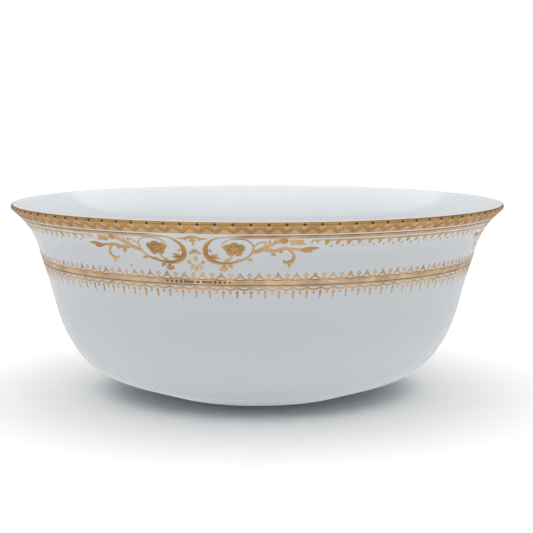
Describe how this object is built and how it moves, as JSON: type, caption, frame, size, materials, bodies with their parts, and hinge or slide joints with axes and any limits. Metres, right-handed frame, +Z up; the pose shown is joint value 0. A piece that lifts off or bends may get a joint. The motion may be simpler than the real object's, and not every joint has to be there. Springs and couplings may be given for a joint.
{
  "type": "porcelain serving bowl",
  "caption": "Round open serving bowl in white glazed porcelain with a flared lip, a hollow neck, a round belly, a low flat foot and a gilded border of scrolls and lace.",
  "frame": {"origin": "centre of the foot, in the plane that the bowl stands on", "axes": "+Z up along the bowl's axis, the front ornament faces -Y and +X is to its right"},
  "size_m": [0.2308, 0.2308, 0.0885],
  "materials": {
    "porcelain": "bare fired porcelain, matt",
    "glaze": "smooth clear gloss over white",
    "gilt": "thin fired gold, satin, slightly coppery"
  },
  "bodies": {
    "root": {"porcelain_body": "porcelain", "glaze_coat": "glaze", "base_glaze": "glaze", "rim_gold_band": "gilt", "lower_gold_band": "gilt", "crown_lace": "gilt", "pendant_lace": "gilt", "scroll_left_1": "gilt", "flower_left_1": "gilt", "scroll_right_1": "gilt", "flower_right_1": "gilt", "bow_bracket_1": "gilt", "arrowhead_1": "gilt", "bead_1": "gilt", "drop_fan_1": "gilt", "neck_gold_line_1": "gilt", "upper_lace_1": "gilt", "scroll_left_2": "gilt", "flower_left_2": "gilt", "scroll_right_2": "gilt", "flower_right_2": "gilt", "bow_bracket_2": "gilt", "arrowhead_2": "gilt", "bead_2": "gilt", "drop_fan_2": "gilt", "neck_gold_line_2": "gilt", "upper_lace_2": "gilt", "scroll_left_3": "gilt", "flower_left_3": "gilt", "scroll_right_3": "gilt", "flower_right_3": "gilt", "bow_bracket_3": "gilt", "arrowhead_3": "gilt", "bead_3": "gilt", "drop_fan_3": "gilt", "neck_gold_line_3": "gilt", "upper_lace_3": "gilt"}
  },
  "joints": []
}
